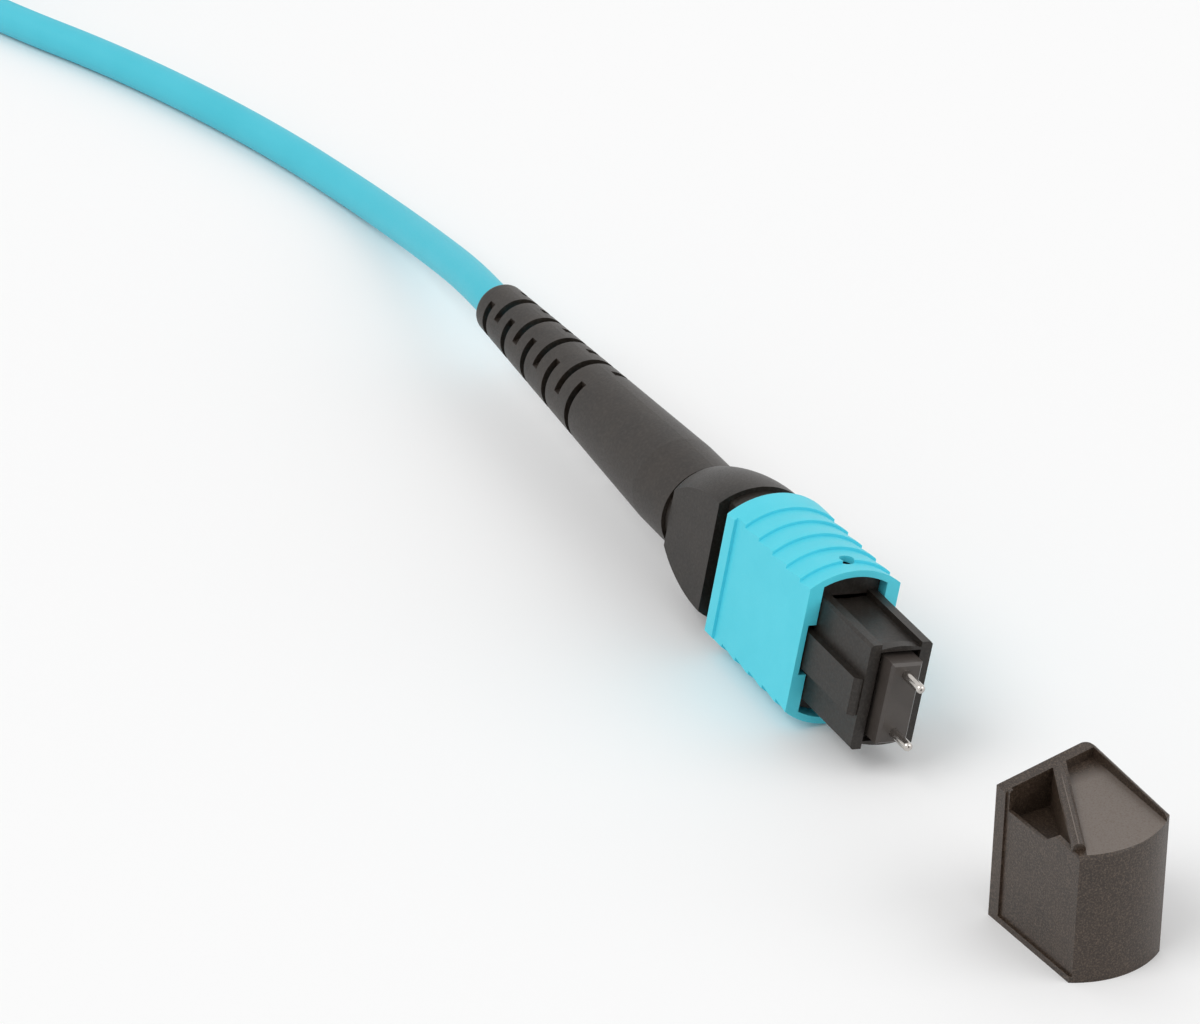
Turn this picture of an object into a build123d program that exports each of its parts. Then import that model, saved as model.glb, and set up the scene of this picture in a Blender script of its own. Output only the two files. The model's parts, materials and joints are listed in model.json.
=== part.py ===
from build123d import *
from math import cos, pi, radians, sin, tan
import os

os.makedirs("parts", exist_ok=True)

# Fibre breakout cable: a male 12-fibre MPO plug on a round trunk, a fan-out and four duplex LC legs.
# Millimetres. +X is the mating direction of the MPO plug, +Z is up, and the origin is the centre of
# the ferrule's end face. The plug lies on its rounded narrow side, so its width stands nearly upright.

# Stance
roll = 9.85  # how far the plug's width leans from upright
running_gap = 0.05  # between flat faces that slide or part

# Sliding sleeve
sleeve_width = 12.44  # across the rounded narrow sides, which lie on one circle
sleeve_thickness = 7.44  # across the flat wide faces
sleeve_length = 12.25
sleeve_front = -8.45
strip_length = 1.1  # raised strip along the rear edge of each wide face
strip_height = 0.25
sleeve_wall_round = 0.55  # wall at the rounded sides
sleeve_slide_gap = 0.1  # all round the inner housing
ridge_count = 5
ridge_pitch = 2.1
ridge_depth = 0.22
ridge_share = 0.85  # of the pitch that each step's slope takes up
ridge_first = 2.3  # rear edge to the first step
moulding_hole_radius = 0.55
moulding_hole_back = 1.85  # behind the sleeve's front edge
lug_length = 1.0  # inner lug that the sleeve springs push on
lug_side_gap = 0.15  # each side of the lug in the spring groove
lug_clearance = 0.25  # above the floor of the spring groove
sleeve_travel = 1.3

# Inner housing
housing_front = -1.25
housing_rear = -20.5
housing_thickness = 5.04
nose_width = 8.3
nose_wall = 0.9  # side walls beside the latch recess
nose_bevel = 0.2
shoulder_front = -9.3  # where the nose widens inside the sleeve
shoulder_side_gap = 0.22  # from the housing's rounded sides to the sleeve's bore
recess_floor = 3.66  # from the axis to the floor of the latch recess
recess_sag = 0.12  # the floor is hollowed by this much
lip_length = 0.7  # bridge in front of the latch recess
lip_drop = 0.2  # below the edges of the side walls
key_width = 2.9
key_height = 0.62
key_start = 0.1  # behind the housing's front face
key_bevel = 0.35
keyway_play = 0.55  # each side of the key in the sleeve
keyway_roof = 0.12  # above the key in the sleeve
mouth_width = 7.1
mouth_thickness = 3.24
mouth_depth = 0.55  # less than the bridge in front of the latch recess
step_depth = 2.0  # the passage is as thick as the mouth down to here
cavity_width = 7.7  # behind the widening
cavity_thickness = 3.9
spring_groove_floor = 4.2
spring_groove_start = 4.0  # behind the place where the nose widens

# Ferrule, guide pins and their clamp
ferrule_width = 6.4
ferrule_thickness = 2.5
ferrule_length = 8.0
ferrule_play = 0.14
flange_width = 6.5
flange_thickness = 3.4
flange_length = 2.2
ferrule_bevel = 0.2
flange_round = 0.4
ferrule_travel = 0.8
pin_radius = 0.35
pin_free_radius = 0.349  # of the stretch that stands out of the ferrule
pin_pitch = 4.6
pin_reach = 2.3
pin_tip = 0.3
pin_fit = 0.01
clamp_length = 1.8
clamp_web = 0.5
clamp_trim = 0.1  # smaller than the flange by this much
pocket_width = 3.6  # rear pocket of the ferrule
pocket_thickness = 1.6
pocket_depth = 1.6
end_face_wall = 1.5  # left solid behind the end face
bung_tail = 0.2  # stands out behind the ferrule
ribbon_width = 3.05
ribbon_thickness = 0.32
ribbon_flat = 0.95  # flat this far behind the ferrule
ribbon_gap = 0.2  # left before the end face's wall when the ferrule is pushed home
fibre_bundle_width = 1.2
fibre_bundle_share = 0.8  # thickness of the bundle as a share of its width
fibre_bundle_tail = 1.0  # reaches this far behind the crimp stub
bundle_slot_gap = 0.08

# Springs
ferrule_spring_radius = 1.55
ferrule_spring_wire = 0.22
ferrule_spring_turns = 5
sleeve_spring_play = 0.005  # above and below the spring in its groove
sleeve_spring_side_play = 0.13
sleeve_spring_wire = 0.12
sleeve_spring_turns = 7

# Back body
plug_front = -16.5  # where the ferrule spring rests
plug_play = 0.08
hook_length = 1.2
hook_width = 3.0
hook_height = 0.4
hook_back = 1.4  # behind the plug's front
window_play = 0.1
neck_step = 0.25  # the neck's rounded sides lie this far below the housing's
collar_gap = 0.95  # left behind the sleeve when it is pulled back
collar_rear = -29.4
collar_width = 11.2
collar_thickness = 6.8
collar_rear_radius = 4.1
collar_bulge_place = 3.95  # behind the collar's front, where its slope is given a second point
collar_bulge_drop = 0.55
groove_radius = 3.4
stub_radius = 2.1
stub_rear = -36.0
body_bore = 1.0
barb_count = 5
barb_pitch = 0.9
barb_depth = 0.15

# Crimp ring and strain relief boot
crimp_front = -30.3
crimp_rear = -38.2
crimp_wall = 0.35
crimp_gap = 0.15
crimp_bevel = 0.1
boot_front = -30.0
boot_taper = -34.8  # where the straight front turns into the cone
boot_rear = -66.3
boot_front_radius = 3.7
boot_rear_radius = 2.15
boot_socket_gap = 0.1
boot_round = 0.5
slot_turn = 6.65  # of the first pair of slots from upright, towards the key side
slot_width = 0.8
slot_count = 9
slot_start = 2.1
slot_step = 1.8
slot_growth = 0.035
slot_floor = 1.25  # from the axis to the bottom of each slot
slot_overrun = 1.0  # the cutters stand this far outside the boot

# Trunk cable
trunk_radius = 1.5
trunk_bore_gap = 0.12
coil_turns_wide = 2
coil_layers = 2
coil_middle_radius = 15.0
coil_centre = (-177.0, -5.5)
coil_bevel = 0.9

# Dust cap, in its own axes: length along the open end, thickness across it, height above the floor
cap_half_length = 4.69  # the flat faces; one end is flat and the other bulges
cap_bulge = 1.1
cap_thickness = 7.5
cap_height = 12.0  # highest corner, far side of the flat end
cap_near_height = 10.7  # near corner of the flat end
cap_fall = 0.85  # the top falls by this along the far side
cap_centre = (21.95, 1.55)
cap_turn = 5.0
cap_draft = 0.2
cap_play = 0.12
cap_depth = 5.8
cap_corner = 0.9  # far corner of the flat end
cap_top_bevel = 0.25
cap_panel_edge = -3.6  # where the recessed panel of the front face begins
cap_panel_depth = 0.18
cap_panel_sill = 0.5
cap_rim = 0.4  # thin rim along the back face
cap_wall = 0.45  # wall between the pocket and the front face
cap_end_wall = 1.15  # thick rim at the flat end
cap_scoop_height = 10.77  # scoop's floor beside the thick rim, on the rib's line
cap_scoop_fall = 0.05  # per millimetre of length
cap_scoop_rise = 0.1  # per millimetre of thickness
cap_rib_start = (-4.1, 0.85, 10.95)
cap_rib_end = (4.1, -3.2, 10.1)
cap_rib_width = 0.95
cap_pocket_floor = 8.2
cap_notch_start = -3.3
cap_notch_stop = 0.8
cap_notch_floor = 9.05
cap_notch_rise_stop = 2.9
cap_notch_rise = 10.8

# Fan-out
fan_front = -232.0
fan_length = 26.0
fan_width = 15.0
fan_height = 5.4
fan_wall = 1.0
fan_y = -18.0
fan_boot_length = 5.0
fan_boot_radius = 2.5
fan_boot_tip = 2.0
leg_radius = 1.0
leg_pitch = 3.0
leg_count = 4
leg_gap = 0.1
fan_corner = 1.2
leg_socket = 5.0  # each leg starts this far inside the fan-out

# The legs' shared coil: four legs side by side, one layer a turn
leg_coil_centre = (-256.0, -4.0)
leg_coil_inner_track = 9.0
leg_coil_layers = 3
leg_coil_bevel = 0.7

# Duplex LC plugs
lc_rear = -299.0
lc_pitch = 14.0
lc_middle_y = -14.9
lc_boot_length = 20.5
lc_body_length = 18.0
lc_body_width = 12.8
lc_body_height = 7.8
lc_nose_length = 11.0
lc_nose_side = 4.5
lc_spacing = 6.25
lc_latch_width = 3.2
lc_latch_thickness = 0.7
lc_latch_rise = 1.9
lc_latch_root = 2.4  # from the nose's tip to the end of the latch's root
lc_latch_tip = 0.8  # from the nose's tip to the start of the latch
lc_latch_sink = 0.2
lc_latch_foot = 0.3  # height of the latch above the nose at its tip
lc_latch_slit = 0.1  # height of the latch's underside above the nose at its root
lc_thumb_start = 1.2
lc_thumb_end = 0.4
lc_bore = 1.6
lc_hub_radius = 1.5
lc_base_trim = 0.6  # base plate of the two noses, narrower than the body by this much
lc_base_extra = 1.6  # base plate, higher than the noses by this much
lc_base_length = 1.6
lc_base_round = 0.6
lc_ferrule_radius = 0.625
lc_ferrule_reach = 1.5
lc_ferrule_root = 4.0
lc_cap_length = 5.0
lc_cap_end = 1.5  # left solid at the cap's closed end
lc_cap_round = 0.8
lc_cap_bridge = 1.6
lc_cap_gap = 0.05
lc_boot_radius = 3.2
lc_boot_tip = 1.7
lc_boot_rib = 0.35
lc_boot_ribs = 5
lc_boot_rib_width = 1.0
lc_boot_rib_start = 0.15  # share of the boot's length
lc_boot_rib_stop = 0.85
lc_body_round = 1.5
lc_body_rear_width = 9.0
lc_body_rear_height = 7.0
lc_body_taper = 6.0
lc_socket = 6.0  # each leg's tail reaches this far into its boot
lc_body_socket = 5.0

# Worked out from the sizes above
floor_level = -sleeve_width / 2
passage_width = ferrule_width + 2 * ferrule_play
sleeve_rear = sleeve_front - sleeve_length
width_up = Vector(0, sin(radians(roll)), cos(radians(roll)))
key_side = Vector(0, -cos(radians(roll)), sin(radians(roll)))
ferrule_stop = -ferrule_length + flange_length + running_gap
clamp_rear = -ferrule_length - clamp_length
trunk_level = floor_level + trunk_radius
leg_level = floor_level + leg_radius
fan_level = floor_level + fan_height / 2
lc_level = floor_level + lc_body_height / 2
coil_outer = coil_middle_radius + coil_turns_wide * trunk_radius
coil_inner = coil_middle_radius - coil_turns_wide * trunk_radius
coil_height = 2 * trunk_radius * coil_layers
nose_half = lc_nose_side / 2
leg_coil_height = 2 * leg_radius * leg_coil_layers
sleeve_bore_width = sleeve_width - 2 * sleeve_wall_round
sleeve_bore_thickness = housing_thickness + 2 * sleeve_slide_gap
shoulder_width = sleeve_bore_width - 2 * shoulder_side_gap
neck_width = shoulder_width - 2 * neck_step
collar_front = sleeve_rear - sleeve_travel - collar_gap
groove_front = shoulder_front - spring_groove_start
lug_front = groove_front - running_gap
sleeve_spring_front = lug_front - lug_length - running_gap
sleeve_spring_rear = housing_rear + running_gap
sleeve_spring_height = (spring_groove_floor + shoulder_width / 2) / 2
sleeve_spring_radius = (
    (shoulder_width / 2 - spring_groove_floor) / 2 - sleeve_spring_wire - sleeve_spring_play
)
spring_groove_width = 2 * (sleeve_spring_radius + sleeve_spring_wire + sleeve_spring_side_play)
lug_width = spring_groove_width - 2 * lug_side_gap
crimp_bore = stub_radius + crimp_gap
crimp_radius = crimp_bore + crimp_wall


def across(x):
    """Plane across the mating axis: sketch X up the width, sketch Y towards the key side."""
    return Plane(origin=(x, 0, 0), x_dir=width_up, z_dir=(1, 0, 0))


def facing_key(offset):
    """Plane seen from the key side: sketch X along the mating axis, sketch Y up the width."""
    return Plane(origin=key_side * offset, x_dir=(1, 0, 0), z_dir=key_side)


def facing_up(offset):
    """Plane seen from above: sketch X along the mating axis, sketch Y away from the key side."""
    return Plane(origin=width_up * offset, x_dir=(1, 0, 0), z_dir=width_up)


def flat_round(width, thickness):
    """A round of the given width with two flats the thickness apart."""
    Circle(width / 2)
    Rectangle(width, thickness, mode=Mode.INTERSECT)


def save(piece, label):
    """Name a finished piece and write it."""
    piece.part.label = label
    export_step(piece.part, f"parts/{label}.step")


def route_radii(points):
    """The largest arc that each corner's shorter run allows."""
    radii = []
    for before, corner, after in zip(points, points[1:], points[2:]):
        into = Vector(*corner) - Vector(*before)
        out = Vector(*after) - Vector(*corner)
        turn = into.get_angle(out)
        radii.append(0.45 * min(into.length, out.length) / tan(radians(turn) / 2))
    return radii


def cord(points, radius, label):
    """A round tube along straight runs joined by tangent arcs."""
    radii = route_radii(points)
    print(label, "arc radii", [round(value, 1) for value in radii])
    start = Vector(*points[0])
    heading = Vector(*points[1]) - start
    with BuildPart() as tube:
        with BuildLine() as route:
            FilletPolyline(*points, radius=radii)
        with BuildSketch(Plane(origin=start, z_dir=heading)):
            Circle(radius)
        sweep(path=route.line)
    length = sum(edge.length for edge in route.edges())
    ratio = tube.part.volume / (pi * radius**2 * length)
    print(label, "length", round(length, 1), "volume ratio", round(ratio, 4))
    save(tube, label)


# Sliding sleeve
keyway_width = key_width + 2 * keyway_play
keyway_depth = housing_thickness / 2 + key_height + keyway_roof
with BuildPart() as sliding_sleeve:
    with BuildSketch(across(sleeve_rear)):
        flat_round(sleeve_width, sleeve_thickness + 2 * strip_height)
    extrude(amount=strip_length)
    with BuildSketch(across(sleeve_rear + strip_length)):
        flat_round(sleeve_width, sleeve_thickness)
    extrude(amount=sleeve_length - strip_length)
    for number in range(ridge_count):
        step = sleeve_rear + ridge_first + number * ridge_pitch
        with BuildSketch(facing_key(0)):
            with BuildLine():
                Polyline(
                    (step, sleeve_width / 2 + ridge_depth),
                    (step, sleeve_width / 2 - ridge_depth),
                    (step + ridge_pitch * ridge_share, sleeve_width / 2),
                    (step + ridge_pitch * ridge_share, sleeve_width / 2 + ridge_depth),
                    close=True,
                )
            make_face()
        revolve(axis=Axis.X, mode=Mode.SUBTRACT)
    with BuildSketch(across(sleeve_rear)):
        flat_round(sleeve_bore_width, sleeve_bore_thickness)
        with Locations((0, keyway_depth / 2)):
            Rectangle(keyway_width, keyway_depth)
    extrude(amount=sleeve_length, mode=Mode.SUBTRACT)
    with BuildSketch(facing_up(0)):
        with Locations((sleeve_front - moulding_hole_back, 0)):
            Circle(moulding_hole_radius)
    extrude(amount=sleeve_width, both=True, mode=Mode.SUBTRACT)
    lug_foot = spring_groove_floor + lug_clearance
    lug_reach = sleeve_bore_width / 2 + sleeve_wall_round / 2
    for side in (-1, 1):
        with BuildSketch(across(lug_front - lug_length)):
            with Locations((side * (lug_foot + lug_reach) / 2, 0)):
                Rectangle(lug_reach - lug_foot, lug_width)
        extrude(amount=lug_length)
save(sliding_sleeve, "sliding_sleeve")

# Inner housing, moulded in one piece with its key, latch recesses and spring grooves
with BuildPart() as inner_housing:
    with BuildSketch(across(shoulder_front)):
        Rectangle(nose_width, housing_thickness)
    extrude(amount=housing_front - shoulder_front)
    chamfer(inner_housing.edges().filter_by(Axis.X), nose_bevel)
    with BuildSketch(across(housing_rear)):
        flat_round(shoulder_width, housing_thickness)
    extrude(amount=shoulder_front - housing_rear)
    with BuildSketch(across(housing_rear)):
        with Locations((0, (housing_thickness + key_height) / 2)):
            Rectangle(key_width, key_height)
    extrude(amount=housing_front - key_start - housing_rear)
    key_tip = inner_housing.edges().filter_by(
        lambda edge: abs(edge.center().X - (housing_front - key_start)) < 0.01
        and edge.center().dot(key_side) > housing_thickness / 2 + key_height / 2
    )
    chamfer(key_tip, key_bevel)
    recess_width = housing_thickness - 2 * nose_wall
    for side in (-1, 1):
        with BuildSketch(across(shoulder_front)):
            with BuildLine():
                floor_arc = ThreePointArc(
                    (side * recess_floor, -recess_width / 2),
                    (side * (recess_floor - recess_sag), 0),
                    (side * recess_floor, recess_width / 2),
                )
                Line(floor_arc @ 1, (side * nose_width, recess_width / 2))
                Line((side * nose_width, recess_width / 2), (side * nose_width, -recess_width / 2))
                Line((side * nose_width, -recess_width / 2), floor_arc @ 0)
            make_face()
        extrude(amount=housing_front - lip_length - shoulder_front, mode=Mode.SUBTRACT)
        with BuildSketch(across(housing_front - lip_length)):
            with BuildLine():
                lip_arc = ThreePointArc(
                    (side * (nose_width / 2 - 2 * lip_drop), -recess_width / 2),
                    (side * (nose_width / 2 - lip_drop), 0),
                    (side * (nose_width / 2 - 2 * lip_drop), recess_width / 2),
                )
                Line(lip_arc @ 1, (side * nose_width, recess_width / 2))
                Line((side * nose_width, recess_width / 2), (side * nose_width, -recess_width / 2))
                Line((side * nose_width, -recess_width / 2), lip_arc @ 0)
            make_face()
        extrude(amount=lip_length, mode=Mode.SUBTRACT)
        with BuildSketch(across(housing_rear)):
            with Locations((side * (spring_groove_floor + shoulder_width / 2) / 2, 0)):
                Rectangle(shoulder_width / 2 - spring_groove_floor, spring_groove_width)
        extrude(amount=groove_front - housing_rear, mode=Mode.SUBTRACT)
    with BuildSketch(across(housing_front - mouth_depth)):
        Rectangle(mouth_width, mouth_thickness)
    extrude(amount=mouth_depth, mode=Mode.SUBTRACT)
    with BuildSketch(across(housing_front - step_depth)):
        Rectangle(passage_width, mouth_thickness)
    extrude(amount=step_depth, mode=Mode.SUBTRACT)
    with BuildSketch(across(ferrule_stop)):
        Rectangle(passage_width, ferrule_thickness + 2 * ferrule_play)
    extrude(amount=housing_front - ferrule_stop, mode=Mode.SUBTRACT)
    with BuildSketch(across(shoulder_front)):
        Rectangle(passage_width, flange_thickness + 2 * ferrule_play)
    extrude(amount=ferrule_stop - shoulder_front, mode=Mode.SUBTRACT)
    with BuildSketch(across(housing_rear)):
        Rectangle(cavity_width, cavity_thickness)
    extrude(amount=shoulder_front - housing_rear, mode=Mode.SUBTRACT)
    hook_place = plug_front - hook_back - hook_length
    with BuildSketch(across(hook_place - window_play)):
        Rectangle(hook_width + 2 * window_play, housing_thickness * 2)
    extrude(amount=hook_length + 2 * window_play, mode=Mode.SUBTRACT)
save(inner_housing, "inner_housing")

# Ferrule with its flange, pin bores and rear pocket
with BuildPart() as ferrule:
    with BuildSketch(across(-ferrule_length)):
        Rectangle(ferrule_width, ferrule_thickness)
    extrude(amount=ferrule_length)
    chamfer(ferrule.faces().sort_by(Axis.X)[-1].edges(), ferrule_bevel)
    with BuildSketch(across(-ferrule_length)):
        RectangleRounded(flange_width, flange_thickness, flange_round)
    extrude(amount=flange_length)
    with BuildSketch(across(-ferrule_length)):
        with Locations((-pin_pitch / 2, 0), (pin_pitch / 2, 0)):
            Circle(pin_radius + pin_fit)
    extrude(amount=ferrule_length, mode=Mode.SUBTRACT)
    with BuildSketch(across(-ferrule_length)):
        Rectangle(pocket_width, pocket_thickness)
    extrude(amount=pocket_depth, mode=Mode.SUBTRACT)
    with BuildSketch(across(-ferrule_length + pocket_depth)):
        Rectangle(ribbon_width + 2 * bundle_slot_gap, ribbon_thickness + 2 * bundle_slot_gap)
    extrude(amount=ferrule_length - pocket_depth - end_face_wall, mode=Mode.SUBTRACT)
save(ferrule, "ferrule")

# Two steel guide pins
with BuildPart() as guide_pins:
    with BuildSketch(across(clamp_rear + clamp_web)):
        with Locations((-pin_pitch / 2, 0), (pin_pitch / 2, 0)):
            Circle(pin_radius)
    extrude(amount=-clamp_rear - clamp_web)
    with BuildSketch(across(0)):
        with Locations((-pin_pitch / 2, 0), (pin_pitch / 2, 0)):
            Circle(pin_free_radius)
    extrude(amount=pin_reach)
    pin_ends = guide_pins.edges().filter_by(GeomType.CIRCLE).group_by(Axis.X)[-1]
    fillet(pin_ends, pin_tip)
save(guide_pins, "guide_pins")

# Clamp that holds the pins behind the ferrule
with BuildPart() as pin_clamp:
    with BuildSketch(across(clamp_rear)):
        RectangleRounded(flange_width - clamp_trim, flange_thickness - clamp_trim, flange_round)
        Rectangle(pocket_width, pocket_thickness, mode=Mode.SUBTRACT)
    extrude(amount=clamp_length - running_gap)
    with BuildSketch(across(clamp_rear + clamp_web)):
        with Locations((-pin_pitch / 2, 0), (pin_pitch / 2, 0)):
            Circle(pin_radius + pin_fit)
    extrude(amount=clamp_length, mode=Mode.SUBTRACT)
save(pin_clamp, "pin_clamp")

# Rubber bung in the ferrule's rear pocket
with BuildPart() as ferrule_bung:
    with BuildSketch(across(-ferrule_length - bung_tail)):
        Rectangle(pocket_width - clamp_trim, pocket_thickness - clamp_trim)
        Rectangle(
            ribbon_width + 2 * bundle_slot_gap,
            ribbon_thickness + 2 * bundle_slot_gap,
            mode=Mode.SUBTRACT,
        )
    extrude(amount=pocket_depth)
save(ferrule_bung, "ferrule_bung")

# Fibres: a flat ribbon in the ferrule that gathers into a round bundle through the springs
with BuildPart() as fibre_ribbon:
    with BuildSketch(across(-ferrule_length - ribbon_flat)):
        Rectangle(ribbon_width, ribbon_thickness)
    extrude(amount=ferrule_length + ribbon_flat - end_face_wall - ferrule_travel - ribbon_gap)
    with BuildSketch(across(-ferrule_length - ribbon_flat)):
        Rectangle(ribbon_width, ribbon_thickness)
    with BuildSketch(across(clamp_rear)):
        Rectangle(fibre_bundle_width, fibre_bundle_width * fibre_bundle_share)
    loft()
    with BuildSketch(across(stub_rear - fibre_bundle_tail)):
        Rectangle(fibre_bundle_width, fibre_bundle_width * fibre_bundle_share)
    extrude(amount=clamp_rear - stub_rear + fibre_bundle_tail)
save(fibre_ribbon, "fibre_ribbon")


def coil_spring(start, stop, radius, wire, turns, height, label):
    """A round-wire coil along the mating axis, at a height up the width."""
    length = stop - start - 2 * wire
    centre = Vector(start + wire, 0, 0) + width_up * height
    with BuildPart() as spring:
        with BuildLine() as helix:
            Helix(
                pitch=length / turns,
                height=length,
                radius=radius,
                center=tuple(centre),
                direction=(1, 0, 0),
            )
        with BuildSketch(Plane(origin=helix.line @ 0, z_dir=helix.line % 0)):
            Circle(wire)
        sweep(path=helix.line, is_frenet=True)
    save(spring, label)


coil_spring(
    plug_front + running_gap,
    clamp_rear - running_gap,
    ferrule_spring_radius,
    ferrule_spring_wire,
    ferrule_spring_turns,
    0,
    "ferrule_spring",
)
for side, word in ((1, "upper"), (-1, "lower")):
    coil_spring(
        sleeve_spring_rear,
        sleeve_spring_front,
        sleeve_spring_radius,
        sleeve_spring_wire,
        sleeve_spring_turns,
        side * sleeve_spring_height,
        f"sleeve_spring_{word}",
    )

# Back body: plug with hooks, neck under the sleeve, collar and crimp stub
collar_radius = collar_width / 2
with BuildPart() as back_body:
    with BuildSketch(facing_key(0)):
        with BuildLine():
            ThreePointArc(
                (collar_rear, collar_rear_radius),
                (collar_front - collar_bulge_place, collar_radius - collar_bulge_drop),
                (collar_front, collar_radius),
            )
            Line((collar_front, collar_radius), (collar_front, 0))
            Line((collar_front, 0), (collar_rear, 0))
            Line((collar_rear, 0), (collar_rear, collar_rear_radius))
        make_face()
    revolve(axis=Axis.X)
    with BuildSketch(across(collar_rear)):
        Rectangle(collar_width, collar_thickness)
    extrude(amount=collar_front - collar_rear, mode=Mode.INTERSECT)
    with BuildSketch(across(boot_front + running_gap)):
        Circle(groove_radius)
    extrude(amount=collar_rear - boot_front)
    with BuildSketch(across(collar_front)):
        flat_round(neck_width, housing_thickness)
    extrude(amount=housing_rear - running_gap - collar_front)
    with BuildSketch(across(collar_front)):
        Rectangle(cavity_width - 2 * plug_play, cavity_thickness - 2 * plug_play)
    extrude(amount=plug_front - collar_front)
    for side in (-1, 1):
        with BuildSketch(across(hook_place)):
            with Locations((0, side * (cavity_thickness / 2 + (hook_height - plug_play) / 2))):
                Rectangle(hook_width, hook_height + plug_play)
        extrude(amount=hook_length)
    with BuildSketch(facing_key(0)):
        with BuildLine():
            Polyline(
                (collar_rear, 0),
                (collar_rear, stub_radius),
                (stub_rear, stub_radius),
                (stub_rear, 0),
                close=True,
            )
        make_face()
    revolve(axis=Axis.X)
    for number in range(barb_count):
        with BuildSketch(across(stub_rear + (number + 1) * barb_pitch)):
            Circle(stub_radius + barb_depth)
            Circle(stub_radius - barb_depth, mode=Mode.SUBTRACT)
        extrude(amount=barb_pitch / 3, mode=Mode.SUBTRACT)
    with BuildSketch(across(stub_rear)):
        Circle(body_bore)
    extrude(amount=plug_front - stub_rear, mode=Mode.SUBTRACT)
save(back_body, "back_body")

# Crimp ring over the stub
with BuildPart() as crimp_ring:
    with BuildSketch(across(crimp_rear)):
        Circle(crimp_radius)
        Circle(crimp_bore, mode=Mode.SUBTRACT)
    extrude(amount=crimp_front - crimp_rear)
    chamfer(crimp_ring.edges().filter_by(GeomType.CIRCLE).group_by(Axis.X)[-1], crimp_bevel)
save(crimp_ring, "crimp_ring")

# Strain relief boot with staggered slots
boot_bore = trunk_radius + trunk_bore_gap
boot_socket = crimp_radius + boot_socket_gap
slot_up = Vector(0, -sin(radians(slot_turn)), cos(radians(slot_turn)))
slot_side = Vector(0, -cos(radians(slot_turn)), -sin(radians(slot_turn)))
with BuildPart() as strain_relief_boot:
    with BuildSketch(facing_key(0)):
        with BuildLine():
            Polyline(
                (boot_front, boot_socket),
                (boot_front, boot_front_radius),
                (boot_taper, boot_front_radius),
                (boot_rear, boot_rear_radius),
                (boot_rear, boot_bore),
                (crimp_rear - running_gap, boot_bore),
                (crimp_rear - running_gap, boot_socket),
                close=True,
            )
        make_face()
    revolve(axis=Axis.X)
    fillet(strain_relief_boot.edges().filter_by(GeomType.CIRCLE).group_by(Axis.X)[0].sort_by(
        SortBy.RADIUS)[-1], boot_round)
    for number in range(slot_count):
        place = boot_rear + slot_start + slot_step * number + slot_growth * number**2
        facing = slot_side if number % 2 == 0 else slot_up
        cutter = Plane(origin=(place, 0, 0), x_dir=facing, z_dir=(1, 0, 0))
        cutter_depth = boot_front_radius + slot_overrun - slot_floor
        with BuildSketch(cutter):
            for side in (-1, 1):
                with Locations((side * (slot_floor + cutter_depth / 2), 0)):
                    Rectangle(cutter_depth, 3 * boot_front_radius)
        extrude(amount=slot_width / 2, both=True, mode=Mode.SUBTRACT)
save(strain_relief_boot, "strain_relief_boot")

# Trunk cable from the boot to its coil, laid on the floor
coil_top_level = floor_level + coil_height - trunk_radius
trunk_points = [
    (crimp_rear - 0.4, 0.0, 0.0),
    (-48.0, 0.0, 0.01),
    (-57.0, 0.01, 0.0),
    (-66.2, 0.02, 0.01),
    (-74.5, 1.1, -1.15),
    (-82.5, 1.75, -2.6),
    (-90.5, 2.15, -3.95),
    (-99.5, 1.6, trunk_level),
    (-110.0, -0.4, trunk_level),
    (-121.5, -3.5, trunk_level),
    (-133.0, -7.5, trunk_level),
    (-144.0, -12.4, trunk_level),
    (-155.0, -16.2, trunk_level),
    (-164.5, -19.1, trunk_level),
    (-172.5, -21.4, trunk_level),
]
cord(trunk_points, trunk_radius, "trunk_cable")

# The coil of the trunk's put-away length
with BuildPart() as trunk_coil:
    with BuildSketch(Plane.XY.offset(floor_level)):
        with Locations(coil_centre):
            Circle(coil_outer)
            Circle(coil_inner, mode=Mode.SUBTRACT)
    extrude(amount=coil_height)
    chamfer(trunk_coil.edges().filter_by(GeomType.CIRCLE), coil_bevel)
save(trunk_coil, "trunk_coil")

# The trunk from the coil to the fan-out
tail_points = [
    (-180.0, -21.8, coil_top_level),
    (-186.5, -20.7, coil_top_level - 0.3),
    (-193.0, -19.2, coil_top_level - 1.1),
    (-199.5, -18.1, fan_level + 0.1),
    (-207.5, fan_y, fan_level),
]
cord(tail_points, trunk_radius, "trunk_tail")

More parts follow.
